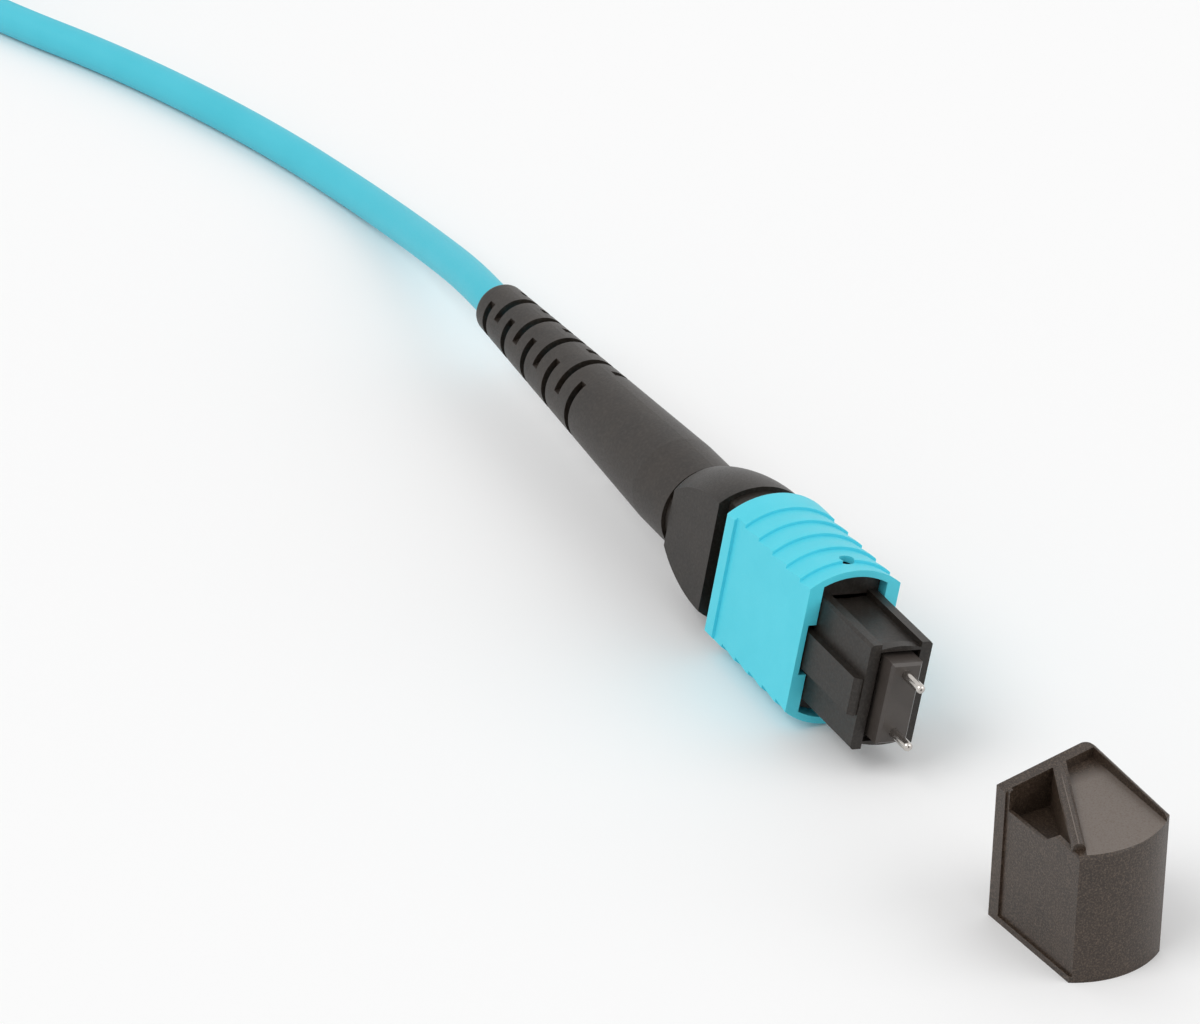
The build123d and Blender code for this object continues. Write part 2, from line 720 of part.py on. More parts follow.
# Fan-out: two shells and a short boot
fan_rear = fan_front + fan_length
fan_plane = Plane(origin=(fan_front, fan_y, fan_level), x_dir=(0, 1, 0), z_dir=(1, 0, 0))
for word, side in (("lower", -1), ("upper", 1)):
    with BuildPart() as fan_shell:
        with BuildSketch(fan_plane):
            RectangleRounded(fan_width, fan_height, fan_corner)
            Rectangle(fan_width - 2 * fan_wall, fan_height - 2 * fan_wall, mode=Mode.SUBTRACT)
            with Locations((0, side * fan_height / 2)):
                Rectangle(fan_width, fan_height, mode=Mode.INTERSECT)
        extrude(amount=fan_length)
        for place in (0, fan_length - 2 * fan_wall):
            with BuildSketch(fan_plane.offset(place)):
                with Locations((0, side * (fan_height - fan_wall) / 4)):
                    Rectangle(fan_width - fan_wall, (fan_height - fan_wall) / 2)
            extrude(amount=2 * fan_wall)
        with BuildSketch(fan_plane):
            for number in range(leg_count):
                with Locations(((number - (leg_count - 1) / 2) * leg_pitch, 0)):
                    Circle(leg_radius + leg_gap)
        extrude(amount=2 * fan_wall, mode=Mode.SUBTRACT)
        with BuildSketch(fan_plane.offset(fan_length - 2 * fan_wall)):
            Circle(trunk_radius + trunk_bore_gap)
        extrude(amount=2 * fan_wall, mode=Mode.SUBTRACT)
    save(fan_shell, f"fanout_shell_{word}")

with BuildPart() as fanout_boot:
    with BuildSketch(Plane(origin=(fan_rear, fan_y, fan_level), x_dir=(1, 0, 0), z_dir=(0, -1, 0))):
        with BuildLine():
            Polyline(
                (0, trunk_radius + trunk_bore_gap),
                (0, fan_boot_radius),
                (fan_boot_length / 4, fan_boot_radius),
                (fan_boot_length, fan_boot_tip),
                (fan_boot_length, trunk_radius + trunk_bore_gap),
                close=True,
            )
        make_face()
    revolve(axis=Axis((fan_rear, fan_y, fan_level), (1, 0, 0)))
save(fanout_boot, "fanout_boot")

# The four legs' put-away length in one shared coil
leg_coil_outer = leg_coil_inner_track + (2 * leg_count - 1) * leg_radius
with BuildPart() as leg_coil:
    with BuildSketch(Plane.XY.offset(floor_level)):
        with Locations(leg_coil_centre):
            Circle(leg_coil_outer)
            Circle(leg_coil_inner_track - leg_radius, mode=Mode.SUBTRACT)
    extrude(amount=leg_coil_height)
    chamfer(leg_coil.edges().filter_by(GeomType.CIRCLE), leg_coil_bevel)
save(leg_coil, "leg_coil")

# Legs and their duplex LC plugs
lc_front = lc_rear - lc_boot_length - lc_body_length
leg_top_level = floor_level + leg_coil_height + leg_radius
for number in range(leg_count):
    name = f"{number + 1}"
    start_y = fan_y + (number - (leg_count - 1) / 2) * leg_pitch
    end_y = lc_middle_y + (number - (leg_count - 1) / 2) * lc_pitch
    track = leg_coil_inner_track + 2 * leg_radius * (leg_count - 1 - number)
    coil_y = leg_coil_centre[1] - track
    shift = coil_y - start_y
    leg_points = [
        (fan_front + leg_socket, start_y, fan_level),
        (fan_front - 1.5, start_y + 0.02 * shift, fan_level - 0.02),
        (fan_front - 7.5, start_y + 0.4 * shift, leg_level + 0.7),
        (fan_front - 13.0, start_y + 0.85 * shift, leg_level + 0.05),
        (fan_front - 19.0, coil_y, leg_level),
        (leg_coil_centre[0], coil_y, leg_level + 0.01),
    ]
    cord(leg_points, leg_radius, f"leg_{name}")
    spread = end_y - coil_y
    tail_points = [
        (leg_coil_centre[0], coil_y, leg_top_level),
        (leg_coil_centre[0] - 9.0, coil_y + 0.02 * spread, leg_top_level),
        (leg_coil_centre[0] - 19.0, coil_y + 0.2 * spread, leg_top_level - 0.1),
        (leg_coil_centre[0] - 28.0, coil_y + 0.6 * spread, lc_level + 0.9),
        (leg_coil_centre[0] - 36.0, end_y, lc_level + 0.1),
        (lc_rear - lc_socket, end_y, lc_level),
    ]
    cord(tail_points, leg_radius, f"leg_{name}_tail")

    def station(x):
        """Plane across the LC plug, facing its mating end."""
        return Plane(origin=(x, end_y, lc_level), x_dir=(0, -1, 0), z_dir=(-1, 0, 0))

    plug_y = (-lc_spacing / 2, lc_spacing / 2)
    with BuildPart() as lc_boot:
        with BuildSketch(
            Plane(origin=(lc_rear, end_y, lc_level), x_dir=(-1, 0, 0), z_dir=(0, 1, 0))
        ):
            with BuildLine():
                Polyline(
                    (0, leg_radius + leg_gap),
                    (0, lc_boot_tip),
                    (lc_boot_length, lc_boot_radius),
                    (lc_boot_length, leg_radius + leg_gap),
                    close=True,
                )
            make_face()
            for rib in range(lc_boot_ribs):
                share = lc_boot_rib_start + (lc_boot_rib_stop - lc_boot_rib_start) * rib / (lc_boot_ribs - 1)
                place = lc_boot_length * share
                height = lc_boot_tip + (lc_boot_radius - lc_boot_tip) * share
                with Locations((place, height)):
                    Rectangle(lc_boot_rib_width, 2 * lc_boot_rib, mode=Mode.SUBTRACT)
        revolve(axis=Axis((lc_rear, end_y, lc_level), (1, 0, 0)))
    save(lc_boot, f"lc_{name}_boot")

    with BuildPart() as lc_body:
        with BuildSketch(station(lc_rear - lc_boot_length)):
            RectangleRounded(lc_body_rear_width, lc_body_rear_height, lc_body_round)
        with BuildSketch(station(lc_rear - lc_boot_length - lc_body_taper)):
            RectangleRounded(lc_body_width, lc_body_height, lc_body_round)
        loft()
        with BuildSketch(station(lc_rear - lc_boot_length - lc_body_taper)):
            RectangleRounded(lc_body_width, lc_body_height, lc_body_round)
        extrude(amount=lc_body_length - lc_body_taper)
        with BuildSketch(station(lc_rear - lc_boot_length)):
            Circle(leg_radius + leg_gap)
        extrude(amount=lc_body_socket, mode=Mode.SUBTRACT)
    save(lc_body, f"lc_{name}_body")

    with BuildPart() as lc_plugs:
        with BuildSketch(station(lc_front)):
            RectangleRounded(
                lc_body_width - lc_base_trim, lc_nose_side + lc_base_extra, lc_base_round
            )
        extrude(amount=lc_base_length)
        with BuildSketch(station(lc_front)):
            with Locations(*((place, 0) for place in plug_y)):
                Rectangle(lc_nose_side, lc_nose_side)
        extrude(amount=lc_nose_length)
        for place in plug_y:
            with BuildSketch(
                Plane(origin=(lc_front, end_y + place, lc_level), x_dir=(-1, 0, 0), z_dir=(0, 1, 0))
            ):
                with BuildLine():
                    Polyline(
                        (lc_nose_length - lc_latch_root, nose_half - lc_latch_sink),
                        (lc_nose_length - lc_latch_tip, nose_half - lc_latch_sink),
                        (lc_nose_length - lc_latch_tip, nose_half + lc_latch_foot),
                        (lc_thumb_start, nose_half + lc_latch_rise),
                        (lc_thumb_end, nose_half + lc_latch_rise),
                        (lc_thumb_end, nose_half + lc_latch_rise - lc_latch_thickness),
                        (lc_nose_length - lc_latch_root, nose_half + lc_latch_slit),
                        close=True,
                    )
                make_face()
            extrude(amount=lc_latch_width / 2, both=True)
        with BuildSketch(station(lc_front)):
            with Locations(*((place, 0) for place in plug_y)):
                Circle(lc_bore)
        extrude(amount=lc_nose_length, mode=Mode.SUBTRACT)
    save(lc_plugs, f"lc_{name}_plugs")

    for place, word in zip(plug_y, ("right", "left")):
        with BuildPart() as lc_ferrule:
            with BuildSketch(station(lc_front)):
                with Locations((place, 0)):
                    Circle(lc_hub_radius)
            extrude(amount=lc_ferrule_root)
            with BuildSketch(station(lc_front - lc_ferrule_root)):
                with Locations((place, 0)):
                    Circle(lc_ferrule_radius)
            extrude(amount=lc_nose_length - lc_ferrule_root + lc_ferrule_reach)
        save(lc_ferrule, f"lc_{name}_ferrule_{word}")

    cap_face = lc_front - lc_nose_length - running_gap
    with BuildPart() as lc_cap:
        with BuildSketch(station(cap_face)):
            with Locations(*((place, 0) for place in plug_y)):
                RectangleRounded(lc_nose_side, lc_nose_side, lc_cap_round)
            Rectangle(lc_spacing, lc_cap_bridge)
        extrude(amount=lc_cap_length)
        with BuildSketch(station(cap_face)):
            with Locations(*((place, 0) for place in plug_y)):
                Circle(lc_ferrule_radius + lc_cap_gap)
        extrude(amount=lc_cap_length - lc_cap_end, mode=Mode.SUBTRACT)
    save(lc_cap, f"lc_{name}_cap")

# Dust cap, standing on its open end
cap_base = Plane(
    origin=(cap_centre[0], cap_centre[1], floor_level),
    x_dir=(cos(radians(cap_turn)), sin(radians(cap_turn)), 0),
    z_dir=(0, 0, 1),
)
cap_front_face = Plane(origin=cap_base.origin, x_dir=cap_base.x_dir, z_dir=-cap_base.y_dir)
cap_half = cap_thickness / 2
cap_cutter = 4 * cap_height


def cap_point(along, across_it, height):
    """A point of the cap from its own length, thickness and height."""
    return cap_base.from_local_coords((along, across_it, height))


def cap_slope(start, along_fall, side_rise):
    """A sloping plane of the cap through a point, with its two gradients."""
    along = cap_base.x_dir - cap_base.z_dir * along_fall
    aside = cap_base.y_dir + cap_base.z_dir * side_rise
    return Plane(origin=cap_point(*start), x_dir=along, z_dir=along.cross(aside))


cap_rise = (cap_height - cap_near_height) / cap_thickness
cap_drop = cap_fall / (2 * cap_half_length)
cap_brim = cap_slope((-cap_half_length, -cap_half, cap_near_height), cap_drop, cap_rise)
cap_step_place = cap_end_wall - cap_half_length
rib_run = Vector(cap_rib_end[0] - cap_rib_start[0], cap_rib_end[1] - cap_rib_start[1])
rib_side = Vector(-rib_run.Y, rib_run.X).normalized() * (cap_rib_width / 2)
cap_scoop_floor = cap_slope((cap_step_place, cap_rib_start[1], cap_scoop_height), cap_scoop_fall,
                            cap_scoop_rise)


def rib_height(place, side):
    """Where one side of the rib crosses a place along the cap, measured across the cap."""
    edge_x = cap_rib_start[0] + side * rib_side.X
    edge_y = cap_rib_start[1] + side * rib_side.Y
    return edge_y + (place - edge_x) * rib_run.Y / rib_run.X


def rib_place(aside, side):
    """Where one side of the rib crosses a line across the cap, measured along the cap."""
    edge_x = cap_rib_start[0] + side * rib_side.X
    edge_y = cap_rib_start[1] + side * rib_side.Y
    return edge_x + (aside - edge_y) * rib_run.X / rib_run.Y


# The sloping scoop beside the rib
with BuildPart() as cap_scoop:
    with BuildSketch(cap_base):
        with BuildLine():
            Polyline(
                (cap_step_place, cap_half - cap_rim),
                (cap_step_place, rib_height(cap_step_place, 1)),
                (cap_half_length + cap_bulge, rib_height(cap_half_length + cap_bulge, 1)),
                (cap_cutter, rib_height(cap_half_length + cap_bulge, 1)),
                (cap_cutter, cap_half - cap_rim),
                close=True,
            )
        make_face()
    extrude(amount=cap_cutter)
    with BuildSketch(cap_scoop_floor):
        Rectangle(4 * cap_cutter, 4 * cap_cutter)
    extrude(amount=2 * cap_cutter, mode=Mode.INTERSECT)

with BuildPart() as dust_cap:
    with BuildSketch(cap_base) as cap_outline:
        with BuildLine():
            end_arc = ThreePointArc(
                (cap_half_length, -cap_half),
                (cap_half_length + cap_bulge, 0),
                (cap_half_length, cap_half),
            )
            Polyline(
                end_arc @ 1,
                (-cap_half_length, cap_half),
                (-cap_half_length, -cap_half),
                end_arc @ 0,
            )
        make_face()
        fillet(cap_outline.vertices().group_by(Axis.X)[0].sort_by(Axis.Y)[-1], cap_corner)
    extrude(amount=cap_cutter / 3, taper=cap_draft)
    with BuildSketch(cap_brim):
        Rectangle(4 * cap_cutter, 4 * cap_cutter)
    extrude(amount=2 * cap_cutter, mode=Mode.SUBTRACT)
    chamfer(dust_cap.faces().sort_by(Axis.Z)[-1].edges(), cap_top_bevel)
    add(cap_scoop.part, mode=Mode.SUBTRACT)
    pocket_front = -cap_half + cap_wall
    with BuildSketch(cap_base.offset(cap_pocket_floor)):
        with BuildLine():
            Polyline(
                (cap_step_place, pocket_front),
                (cap_step_place, rib_height(cap_step_place, -1)),
                (rib_place(pocket_front, -1), pocket_front),
                close=True,
            )
        make_face()
    extrude(amount=cap_height, mode=Mode.SUBTRACT)
    rib_from = cap_point(*cap_rib_start)
    rib_to = cap_point(*cap_rib_end)
    with BuildSketch(Plane(origin=rib_from, z_dir=rib_to - rib_from)):
        Circle(cap_rib_width / 2)
    extrude(amount=(rib_to - rib_from).length)
    with BuildSketch(cap_front_face.offset(-pocket_front)):
        with BuildLine():
            Polyline(
                (cap_notch_start, cap_notch_floor),
                (cap_notch_stop, cap_notch_floor),
                (cap_notch_rise_stop, cap_notch_rise),
                (cap_notch_rise_stop, 2 * cap_height),
                (cap_notch_start, 2 * cap_height),
                close=True,
            )
        make_face()
    extrude(amount=cap_thickness, mode=Mode.SUBTRACT)
    with BuildSketch(cap_front_face.offset(cap_half - cap_panel_depth)):
        with BuildLine():
            Polyline(
                (cap_panel_edge, cap_panel_sill),
                (cap_cutter, cap_panel_sill),
                (cap_cutter, 2 * cap_height),
                (cap_panel_edge, 2 * cap_height),
                close=True,
            )
        make_face()
    extrude(amount=cap_thickness, mode=Mode.SUBTRACT)
    with BuildSketch(cap_base):
        Rectangle(nose_width + 2 * cap_play, housing_thickness + 2 * cap_play)
        with Locations((0, -housing_thickness / 2)):
            Rectangle(key_width + 2 * cap_play, 2 * (key_height + cap_play))
    extrude(amount=cap_depth, mode=Mode.SUBTRACT)
    with BuildSketch(cap_base):
        Rectangle(ferrule_width + 2 * cap_play, ferrule_thickness + 2 * cap_play)
    extrude(amount=cap_depth - housing_front + cap_play, mode=Mode.SUBTRACT)
    with BuildSketch(cap_base):
        with Locations((-pin_pitch / 2, 0), (pin_pitch / 2, 0)):
            Circle(pin_radius + cap_play)
    extrude(amount=cap_depth - housing_front + pin_reach + cap_play, mode=Mode.SUBTRACT)
save(dust_cap, "dust_cap")
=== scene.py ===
import json
import math

import bpy
from mathutils import Matrix, Vector


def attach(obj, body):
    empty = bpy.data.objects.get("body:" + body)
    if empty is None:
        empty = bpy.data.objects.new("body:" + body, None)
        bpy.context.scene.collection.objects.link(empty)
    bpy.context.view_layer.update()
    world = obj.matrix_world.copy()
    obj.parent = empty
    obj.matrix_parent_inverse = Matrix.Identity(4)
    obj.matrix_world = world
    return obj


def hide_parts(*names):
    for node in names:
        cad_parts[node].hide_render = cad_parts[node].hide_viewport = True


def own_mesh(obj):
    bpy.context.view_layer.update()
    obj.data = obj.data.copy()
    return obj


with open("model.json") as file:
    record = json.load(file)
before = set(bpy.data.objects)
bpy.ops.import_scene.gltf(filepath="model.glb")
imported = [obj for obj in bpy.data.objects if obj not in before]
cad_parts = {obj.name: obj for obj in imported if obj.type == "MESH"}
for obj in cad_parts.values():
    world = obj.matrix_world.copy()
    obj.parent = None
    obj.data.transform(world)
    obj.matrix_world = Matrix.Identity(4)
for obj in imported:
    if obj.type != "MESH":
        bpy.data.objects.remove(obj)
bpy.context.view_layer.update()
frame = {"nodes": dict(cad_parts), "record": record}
nodes = frame["nodes"]
scene = bpy.context.scene

# A fibre breakout cable in the frame of its solids.

MM = 0.001
FLOOR = -6.22  # the surface that the whole cable lies on

# Camera at the photograph's angle, for a frame of 1200 by 1024

CAMERA_PLACE = (0.2729, -0.1598, 0.1947)
CAMERA_RIGHT = (0.4391, 0.8983, 0.0139)
CAMERA_FORWARD = (-0.7778, 0.3877, -0.4946)
CAMERA_LENS = 158.6

camera_data = bpy.data.cameras.new("camera")
camera_data.lens = CAMERA_LENS
camera_data.sensor_width = 36
camera_data.clip_start = 0.01
camera_data.clip_end = 20
camera = bpy.data.objects.new("camera", camera_data)
scene.collection.objects.link(camera)
right = Vector(CAMERA_RIGHT).normalized()
forward = Vector(CAMERA_FORWARD).normalized()
up = right.cross(forward).normalized()
turn = Matrix((right, up, -forward)).transposed().to_4x4()
camera.matrix_world = Matrix.Translation(CAMERA_PLACE) @ turn
scene.camera = camera
scene.view_settings.view_transform = "Standard"

# Cords: the routes of the solids, with the coils' turns worked out between them

POINTS_A_TURN = 16


def steps(value, marks):
    """Height at a place, on straight lines between (place, height) marks."""
    for (place, height), (next_place, next_height) in zip(marks, marks[1:]):
        if value <= next_place:
            return height + (next_height - height) * max(0, value - place) / (next_place - place)
    return marks[-1][1]


def turns(centre, start, count, track, level):
    """Points of a coil wound clockwise from an angle in degrees.

    Track and level give its radius and its height after a number of turns. The points stand outside the
    track, because the curve cuts inside them.
    """
    total = round(count * POINTS_A_TURN)
    line = []
    for step in range(1, total + 1):
        done = count * step / (total + 1)
        angle = math.radians(start - 360 * done)
        radius = track(done) / math.cos(math.pi / POINTS_A_TURN)
        line.append(
            (centre[0] + radius * math.cos(angle), centre[1] + radius * math.sin(angle), level(done))
        )
    return line


def lay_cord(name, points, radius):
    """A round cord on one smooth curve."""
    data = bpy.data.curves.new(name, "CURVE")
    data.dimensions = "3D"
    data.resolution_u = 8
    data.bevel_depth = radius * MM
    data.bevel_resolution = 7
    data.use_fill_caps = True
    spline = data.splines.new("NURBS")
    spline.points.add(len(points) - 1)
    for point, place in zip(spline.points, points):
        point.co = (place[0] * MM, place[1] * MM, place[2] * MM, 1)
    spline.order_u = 3
    spline.use_endpoint_u = True
    piece = bpy.data.objects.new(name, data)
    scene.collection.objects.link(piece)
    return piece


TRUNK_RADIUS = 1.5
TRUNK_LEVEL = FLOOR + TRUNK_RADIUS
TRUNK_TOP = FLOOR + 3 * TRUNK_RADIUS
TRUNK_COIL = (-177.0, -5.5)
TRUNK_COIL_START = -74.2  # degrees
TRUNK_COIL_TURNS = 4.07
OUTER_TRACK = 16.5
INNER_TRACK = 13.5
FAN_LEVEL = FLOOR + 2.7

# Lower layer outside then inside, upper layer inside then outside, by number of turns
trunk_tracks = [
    (0, OUTER_TRACK),
    (0.72, OUTER_TRACK),
    (1.0, INNER_TRACK),
    (2.72, INNER_TRACK),
    (3.0, OUTER_TRACK),
    (5, OUTER_TRACK),
]
trunk_layers = [(0, TRUNK_LEVEL), (1.7, TRUNK_LEVEL), (2.0, TRUNK_TOP), (5, TRUNK_TOP)]
trunk_route = [
    (-38.6, 0.0, 0.0),
    (-48.0, 0.0, 0.01),
    (-57.0, 0.01, 0.0),
    (-66.2, 0.02, 0.01),
    (-74.5, 1.1, -1.15),
    (-82.5, 1.75, -2.6),
    (-90.5, 2.15, -3.95),
    (-99.5, 1.6, TRUNK_LEVEL),
    (-110.0, -0.4, TRUNK_LEVEL),
    (-121.5, -3.5, TRUNK_LEVEL),
    (-133.0, -7.5, TRUNK_LEVEL),
    (-144.0, -12.4, TRUNK_LEVEL),
    (-155.0, -16.2, TRUNK_LEVEL),
    (-164.5, -19.1, TRUNK_LEVEL),
    (-172.5, -21.4, TRUNK_LEVEL),
]
trunk_route += turns(
    TRUNK_COIL,
    TRUNK_COIL_START,
    TRUNK_COIL_TURNS,
    lambda done: steps(done, trunk_tracks),
    lambda done: steps(done, trunk_layers),
)
trunk_route += [
    (-180.0, -21.8, TRUNK_TOP),
    (-186.5, -20.7, TRUNK_TOP - 0.3),
    (-193.0, -19.2, TRUNK_TOP - 1.1),
    (-199.5, -18.1, FAN_LEVEL + 0.1),
    (-207.5, -18.0, FAN_LEVEL),
]
trunk = lay_cord("trunk", trunk_route, TRUNK_RADIUS)

LEG_COUNT = 4
LEG_RADIUS = 1.0
LEG_LEVEL = FLOOR + LEG_RADIUS
LEG_TOP = FLOOR + 7 * LEG_RADIUS
LEG_COIL = (-256.0, -4.0)
LEG_COIL_START = -90.0  # degrees
LEG_COIL_TURNS = 3.0
LEG_INNER_TRACK = 9.0
FAN_END = -232.0
FAN_MIDDLE = -18.0
FAN_HOLE_PITCH = 3.0
LC_LEVEL = FLOOR + 3.9
LC_END = -305.0
LC_MIDDLE = -14.9
LC_PITCH = 14.0

# Height above the lowest layer by number of turns: one cord's width up in the middle of each turn
leg_layers = [(0, 0), (0.25, 0), (0.75, 2), (1.25, 2), (1.75, 4), (2.25, 4), (2.75, 6), (4, 6)]
legs = []
for number in range(LEG_COUNT):
    from_middle = number - (LEG_COUNT - 1) / 2
    start_y = FAN_MIDDLE + from_middle * FAN_HOLE_PITCH
    end_y = LC_MIDDLE + from_middle * LC_PITCH
    leg_track = LEG_INNER_TRACK + 2 * LEG_RADIUS * (LEG_COUNT - 1 - number)
    coil_y = LEG_COIL[1] - leg_track
    shift = coil_y - start_y
    spread = end_y - coil_y
    route = [
        (FAN_END + 5.0, start_y, FAN_LEVEL),
        (FAN_END - 1.5, start_y + 0.02 * shift, FAN_LEVEL - 0.02),
        (FAN_END - 7.5, start_y + 0.4 * shift, LEG_LEVEL + 0.7),
        (FAN_END - 13.0, start_y + 0.85 * shift, LEG_LEVEL + 0.05),
        (FAN_END - 19.0, coil_y, LEG_LEVEL),
        (LEG_COIL[0], coil_y, LEG_LEVEL + 0.01),
    ]
    route += turns(
        LEG_COIL,
        LEG_COIL_START,
        LEG_COIL_TURNS,
        lambda done, track=leg_track: track,
        lambda done: LEG_LEVEL + steps(done, leg_layers),
    )
    route += [
        (LEG_COIL[0], coil_y, LEG_TOP),
        (LEG_COIL[0] - 9.0, coil_y + 0.02 * spread, LEG_TOP),
        (LEG_COIL[0] - 19.0, coil_y + 0.2 * spread, LEG_TOP - 0.1),
        (LEG_COIL[0] - 28.0, coil_y + 0.6 * spread, LC_LEVEL + 0.9),
        (LEG_COIL[0] - 36.0, end_y, LC_LEVEL + 0.1),
        (LC_END, end_y, LC_LEVEL),
    ]
    legs.append(lay_cord(f"leg_cord_{number + 1}", route, LEG_RADIUS))

# Materials

MIX_UNDER, MIX_OVER, MIX_RESULT = 6, 7, 2  # the colour sockets of a mix node
FACE_MATCH = (0.9985, 0.9995)  # how nearly a face has to share a normal
# How far, in mm, the painted highlight takes to fade in from the painted rim shadow
RIM_SHADOW_FADE = 1.2
DEEP = (0.6, 0.6, 0.6)  # how far light spreads under a surface, as shares of 1 mm
WHITE = (1, 1, 1, 1)


def fill(tree, node, inputs):
    """Gives a node's inputs their values, or links them to other nodes' outputs."""
    for name, value in inputs.items():
        if isinstance(value, bpy.types.NodeSocket):
            tree.links.new(value, node.inputs[name])
        else:
            node.inputs[name].default_value = value


def add_node(tree, kind, inputs=None, **settings):
    node = tree.nodes.new(f"ShaderNode{kind}")
    for name, value in settings.items():
        setattr(node, name, value)
    fill(tree, node, inputs or {})
    return node


class Board:
    """A material's node tree, with short ways to add to it."""

    def __init__(self, name):
        self.material = bpy.data.materials.new(name)
        self.material.use_nodes = True
        self.tree = self.material.node_tree
        coords = self.add("TexCoord").outputs["Object"]
        self.place = self.add("VectorMath", {0: coords, "Scale": 1 / MM}, operation="SCALE").outputs[0]

    def add(self, kind, inputs=None, **settings):
        return add_node(self.tree, kind, inputs, **settings)

    def surface(self, **inputs):
        """Sets the shader's inputs, which are named here with underscores for spaces."""
        shader = self.tree.nodes["Principled BSDF"]
        fill(self.tree, shader, {name.replace("_", " "): value for name, value in inputs.items()})

    def noise(self, scale, detail, rough):
        inputs = {"Vector": self.place, "Scale": scale, "Detail": detail, "Roughness": rough}
        return self.add("TexNoise", inputs).outputs["Fac"]

    def ramp(self, value, dark, light):
        """Colour between two as the value goes from 0.3 to 0.7."""
        node = self.add("ValToRGB", {"Fac": value})
        for element, where, colour in zip(node.color_ramp.elements, (0.3, 0.7), (dark, light)):
            element.position = where
            element.color = (*colour, 1)
        return node.outputs["Color"]

    def number(self, value, low, high, to_low, to_high):
        """Takes a value from one range to another."""
        ends = {"From Min": low, "From Max": high, "To Min": to_low, "To Max": to_high}
        return self.add("MapRange", {"Value": value, **ends}).outputs["Result"]

    def blend(self, value, under, over, strength=1.0, low=0.0, high=1.0):
        """Lays a colour over another where the value is high."""
        share = self.number(value, low, high, 0.0, strength)
        inputs = {"Factor": share, MIX_UNDER: under, MIX_OVER: (*over, 1)}
        return self.add("Mix", inputs, data_type="RGBA").outputs[MIX_RESULT]

    def faces(self, normal, start_x):
        """Value of 1 on flat faces with this normal, fading in from a place in X: the mask for a
        painted highlight, with painted rim shadow below that place.
        """
        true_normal = self.add("NewGeometry").outputs["True Normal"]
        facing = self.add("VectorMath", {0: true_normal, 1: normal}, operation="DOT_PRODUCT")
        x = self.add("SeparateXYZ", {0: self.place}).outputs["X"]
        match = self.number(facing.outputs["Value"], *FACE_MATCH, 0.0, 1.0)
        out_of_rim_shadow = self.number(x, start_x, start_x + RIM_SHADOW_FADE, 0.0, 1.0)
        return self.add("Math", {0: match, 1: out_of_rim_shadow}, operation="MULTIPLY").outputs[0]

    def bump(self, value, height):
        inputs = {"Strength": 1.0, "Distance": height * MM, "Height": value}
        return self.add("Bump", inputs).outputs["Normal"]


def moulded(name, dark, light, rough=(0.35, 0.5), grain=9.0, grain_height=0.004, cloud=0.35, shine=0.5,
            see_under=0.0, speckle=None, painted_highlight=None, seen=None):
    """A moulded plastic, rubber or paper: slow colour change, fine grain and uneven gloss.

    Speckle is a scale, a colour and a strength. The painted highlight argument is a normal, a place in
    X and a colour:
    a painted highlight on the flat faces with that normal, fading in from painted shadow at that place
    in X. Seen is the colour that only the camera sees.
    """
    board = Board(name)
    colour = board.ramp(board.noise(cloud, 3.0, 0.55), dark, light)
    # Painted highlight: a lighter colour on up-facing flat faces for the light falling on them, held
    # back near the rim as painted shadow
    if painted_highlight is not None:
        normal, start_x, highlight_colour = painted_highlight
        colour = board.blend(board.faces(normal, start_x), colour, highlight_colour)
    if speckle is not None:
        scale, fleck, strength = speckle
        colour = board.blend(board.noise(scale, 2.0, 0.7), colour, fleck, strength, low=0.45, high=0.7)
    if seen is not None:
        colour = board.blend(board.add("LightPath").outputs["Is Camera Ray"], colour, seen)
    fine = board.noise(grain, 3.0, 0.6)
    board.surface(
        Base_Color=colour,
        Roughness=board.number(fine, 0.3, 0.7, *rough),
        Normal=board.bump(fine, grain_height),
        Specular_IOR_Level=shine,
        Subsurface_Weight=see_under,
        Subsurface_Radius=DEEP,
        Subsurface_Scale=MM,
    )
    return board.material


def metal(name, dark, light, rough):
    """Drawn or polished metal with faint unevenness."""
    board = Board(name)
    fine = board.noise(14.0, 3.0, 0.6)
    board.surface(
        Base_Color=board.ramp(board.noise(1.2, 3.0, 0.6), dark, light),
        Roughness=board.number(fine, 0.3, 0.7, *rough),
        Normal=board.bump(fine, 0.0015),
        Metallic=1.0,
    )
    return board.material


# The cap's up-facing scoop faces, and the place in X where their painted highlight fades in from
# painted rim shadow
CAP_TOP_NORMAL = (0.058, -0.095, 0.994)
CAP_HIGHLIGHT_START = 19.0

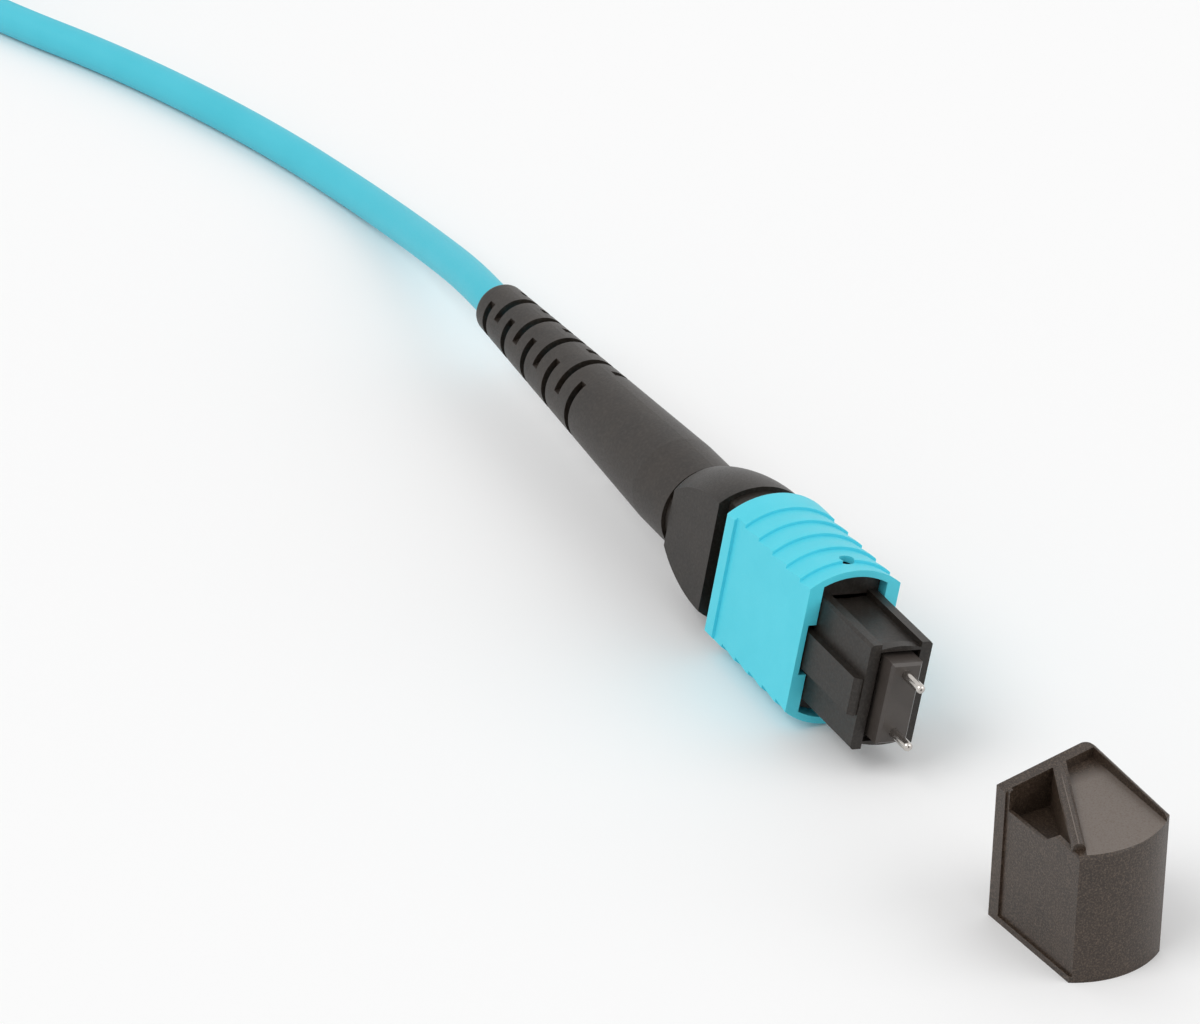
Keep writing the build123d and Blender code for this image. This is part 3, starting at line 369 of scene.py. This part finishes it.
jacket = moulded(
    "jacket",
    (0.060, 0.53, 0.655),
    (0.076, 0.56, 0.69),
    rough=(0.42, 0.54),
    grain=6,
    grain_height=0.006,
    cloud=0.12,
    shine=0.35,
    see_under=0.1,
)
rubber = moulded(
    "boot_rubber",
    (0.011, 0.0075, 0.005),
    (0.020, 0.014, 0.0095),
    rough=(0.36, 0.52),
    grain=8,
    grain_height=0.006,
    shine=0.45,
    speckle=(4.0, (0.05, 0.04, 0.033), 0.45),
)
looks = {
    "cable_jacket": jacket,
    "boot_rubber": rubber,
    "black_rubber": rubber,
    "aqua_plastic": moulded(
        "aqua_plastic",
        (0.080, 0.635, 0.77),
        (0.094, 0.665, 0.80),
        rough=(0.40, 0.54),
        grain=10,
        grain_height=0.003,
        shine=0.35,
        see_under=0.12,
    ),
    "black_plastic": moulded(
        "black_plastic",
        (0.009, 0.0065, 0.0045),
        (0.016, 0.0115, 0.0085),
        rough=(0.34, 0.52),
        grain=10,
        grain_height=0.005,
        shine=0.42,
        speckle=(5.0, (0.045, 0.038, 0.032), 0.5),
    ),
    "ferrule_plastic": moulded(
        "ferrule_plastic",
        (0.045, 0.037, 0.032),
        (0.062, 0.052, 0.046),
        rough=(0.3, 0.45),
        grain=14,
        grain_height=0.002,
    ),
    "cap_plastic": moulded(
        "cap_plastic",
        (0.018, 0.0105, 0.006),
        (0.030, 0.018, 0.011),
        rough=(0.30, 0.46),
        grain=7,
        grain_height=0.010,
        see_under=0.1,
        speckle=(8.0, (0.11, 0.078, 0.056), 0.8),
        # Painted highlight on the scoop faces that look up, for light from above, with painted rim
        # shadow at low X
        painted_highlight=(CAP_TOP_NORMAL, CAP_HIGHLIGHT_START, (0.15, 0.125, 0.108)),
    ),
    "ribbon_coating": moulded("ribbon_coating", (0.55, 0.58, 0.60), (0.70, 0.72, 0.73)),
    "white_ceramic": moulded(
        "white_ceramic",
        (0.74, 0.73, 0.70),
        (0.80, 0.79, 0.77),
        rough=(0.12, 0.2),
        grain=20,
        grain_height=0.001,
    ),
    "clear_cap_plastic": moulded(
        "clear_cap_plastic", (0.62, 0.64, 0.66), (0.72, 0.74, 0.76), rough=(0.3, 0.45), see_under=0.4
    ),
    "polished_steel": metal("polished_steel", (0.46, 0.43, 0.40), (0.60, 0.57, 0.54), (0.12, 0.22)),
    "spring_steel": metal("spring_steel", (0.45, 0.45, 0.46), (0.60, 0.60, 0.61), (0.25, 0.4)),
    "crimp_metal": metal("crimp_metal", (0.55, 0.45, 0.28), (0.66, 0.56, 0.36), (0.3, 0.45)),
}
for entry in frame["record"]["subparts"]:
    piece = nodes[entry["node"]]
    piece.data.materials.clear()
    piece.data.materials.append(looks[entry["material_slot"]])

# Moulded edges, a little rounded in the render


def soften(node, width, segments=2, angle=35):
    modifier = nodes[node].modifiers.new("soft_edges", "BEVEL")
    modifier.width = width * MM
    modifier.segments = segments
    modifier.limit_method = "ANGLE"
    modifier.angle_limit = math.radians(angle)
    modifier.harden_normals = False


soften("sliding_sleeve", 0.18, segments=3)
soften("inner_housing", 0.1)
soften("back_body", 0.1)
soften("strain_relief_boot", 0.07)
soften("dust_cap", 0.2, segments=3, angle=25)
for number in range(1, LEG_COUNT + 1):
    soften(f"lc_{number}_plugs", 0.12)
    soften(f"lc_{number}_cap", 0.12)

# Springs, as copies of their CAD nodes


def lay_spring(node):
    """A spring copied from its CAD node onto the cable, with the CAD node hidden."""
    piece = nodes[node].copy()
    piece.data = nodes[node].data.copy()
    piece.name = f"{node}_wire"
    piece.parent = None
    scene.collection.objects.link(piece)
    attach(piece, "cable")
    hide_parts(node)
    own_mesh(piece)


for node in ("sleeve_spring_upper", "sleeve_spring_lower"):
    lay_spring(node)
lay_spring("ferrule_spring")

# Each cord gets the jacket and joins the cable; the CAD cords it stands in for are hidden

for cord_piece in [trunk] + legs:
    cord_piece.data.materials.append(jacket)
    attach(cord_piece, "cable")
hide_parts("trunk_cable", "trunk_coil", "trunk_tail")
for number, leg in enumerate(legs, 1):
    shared = ["leg_coil"] if number == 1 else []
    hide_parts(f"leg_{number}", f"leg_{number}_tail", *shared)

# Floor, surroundings and lamps

FLOOR_REACH = 3.0  # metres each way

around = ((-1, -1), (1, -1), (1, 1), (-1, 1))
corners = [(x * FLOOR_REACH, y * FLOOR_REACH, FLOOR * MM) for x, y in around]
floor_data = bpy.data.meshes.new("floor")
floor_data.from_pydata(corners, [], [(0, 1, 2, 3)])
floor = bpy.data.objects.new("floor", floor_data)
scene.collection.objects.link(floor)
paper = moulded(
    "floor_paper",
    (0.90, 0.90, 0.90),
    (0.92, 0.92, 0.92),
    rough=(0.8, 0.9),
    grain=0.3,
    grain_height=0.0,
    cloud=0.004,
    shine=0.1,
    seen=(0.955, 0.955, 0.955),
)
floor_data.materials.append(paper)

# The surroundings light the scene less than they show, straight on and in reflections
world = bpy.data.worlds.new("world")
scene.world = world
world.use_nodes = True
tree = world.node_tree
tree.nodes.clear()
path = add_node(tree, "LightPath")
shows = path.outputs["Is Camera Ray"]
for ray in ("Is Glossy Ray", "Is Transmission Ray"):
    shows = add_node(tree, "Math", {0: shows, 1: path.outputs[ray]}, operation="MAXIMUM").outputs[0]
lighting = add_node(tree, "Background", {"Color": WHITE, "Strength": 0.66})
showing = add_node(tree, "Background", {"Color": WHITE, "Strength": 1.0})
mix = add_node(tree, "MixShader", {"Fac": shows, 1: lighting.outputs[0], 2: showing.outputs[0]})
add_node(tree, "OutputWorld", {"Surface": mix.outputs[0]})


def sun(name, toward, strength, angle):
    """A soft sun that stands in a direction and looks as wide as an angle in degrees."""
    data = bpy.data.lights.new(name, "SUN")
    data.energy = strength
    data.angle = math.radians(angle)
    lamp = bpy.data.objects.new(name, data)
    scene.collection.objects.link(lamp)
    lamp.matrix_world = Vector(toward).normalized().to_track_quat("Z", "Y").to_matrix().to_4x4()


sun("key", (0.05, -0.62, 0.78), 0.9, 35)
sun("fill", (0.65, 0.6, 0.55), 0.75, 50)
